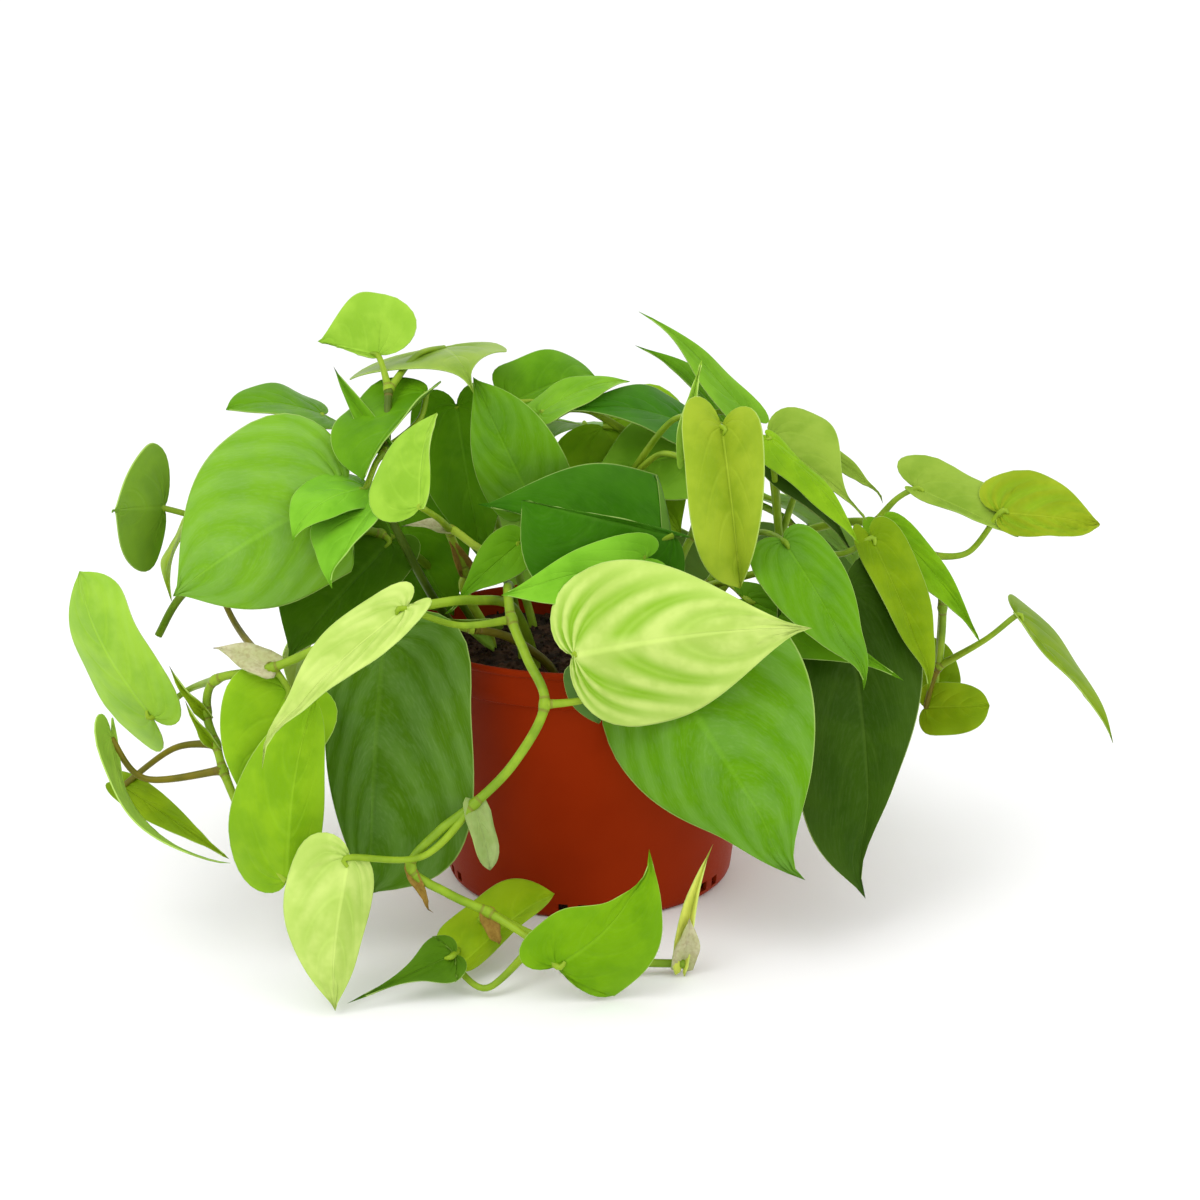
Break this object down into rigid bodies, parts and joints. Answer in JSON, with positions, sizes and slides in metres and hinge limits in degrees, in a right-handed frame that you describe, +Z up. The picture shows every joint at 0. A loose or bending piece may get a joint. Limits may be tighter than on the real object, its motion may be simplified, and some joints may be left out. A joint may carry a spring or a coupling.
{
  "type": "potted trailing heart-leaf house plant",
  "caption": "Trailing heart-leaf plant with lime and green leaves on arching stems that spill over a round plastic nursery pot, some resting on the ground in front of it.",
  "frame": {"origin": "centre of the pot's underside, on the surface it stands on", "axes": "+X to the right in the picture, -Y towards its camera, +Z up along the pot's axis"},
  "size_m": [0.4108, 0.2756, 0.2457],
  "materials": {
    "pot": "terracotta-coloured injection-moulded plastic with a soft sheen",
    "soil": null,
    "foliage": null
  },
  "bodies": {
    "root": {"pot": "pot", "soil": "soil", "vine_front": "foliage", "vine_left": "foliage", "vine_upper_left": "foliage", "vine_mid_left": "foliage", "vine_dark_left": "foliage", "vine_inner": "foliage", "vine_centre": "foliage", "vine_top": "foliage", "vine_right": "foliage", "vine_far_right": "foliage", "vine_back_left": "foliage", "vine_back": "foliage", "vine_back_right": "foliage"}
  },
  "joints": []
}
